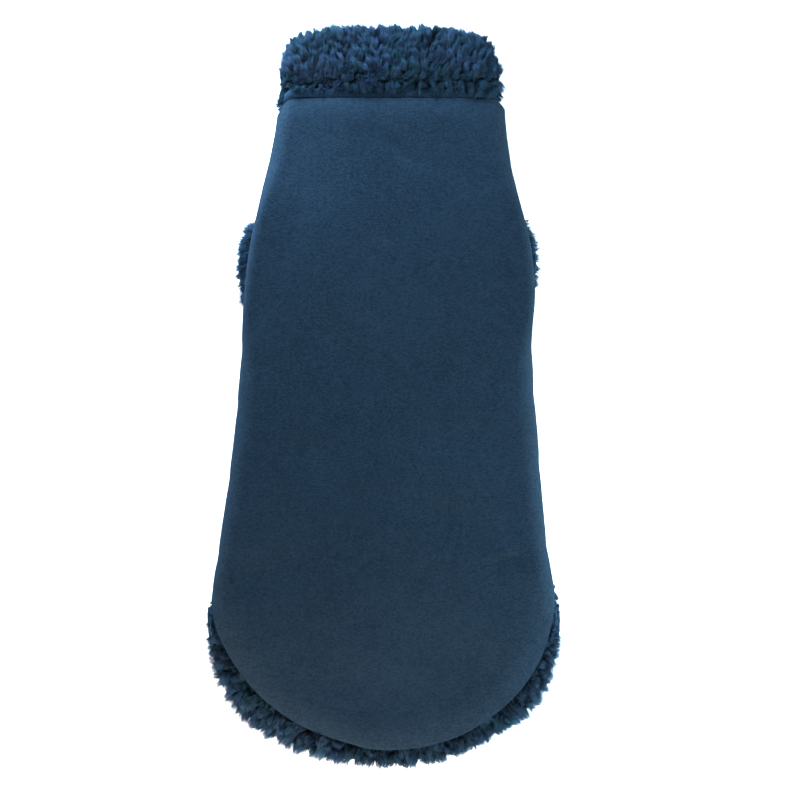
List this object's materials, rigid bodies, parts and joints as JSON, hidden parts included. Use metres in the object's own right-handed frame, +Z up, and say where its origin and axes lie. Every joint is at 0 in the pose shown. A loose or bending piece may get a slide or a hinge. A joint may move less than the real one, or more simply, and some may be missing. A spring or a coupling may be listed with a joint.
{
  "type": "cat fleece jumper",
  "caption": "Pull-on cat jumper in smooth fleece with a sherpa lining, laid flat with its back up: tall pile collar, short sleeves with pile cuffs, rounded back hem edged with pile.",
  "frame": {"origin": "on the surface it lies on, under the middle of its outline seen from above", "axes": "+X to the right of the picture, +Y from the hem to the collar, +Z up out of the back"},
  "size_m": [0.1911, 0.4008, 0.0253],
  "materials": {
    "fleece": "short brushed nap, deep blue, matt with a soft sheen at the edges",
    "sherpa": "deep pile in pointed locks, deep blue, soft sheen",
    "band": "smooth fleece strip at the neck seam"
  },
  "bodies": {
    "root": {"back_panel": "fleece", "belly_panel": "fleece", "sleeve_left": "fleece", "sleeve_right": "fleece", "neck_band": "band", "back_lining": "sherpa", "belly_lining": "sherpa", "collar": "sherpa", "cuff_left": "sherpa", "cuff_right": "sherpa"}
  },
  "joints": []
}
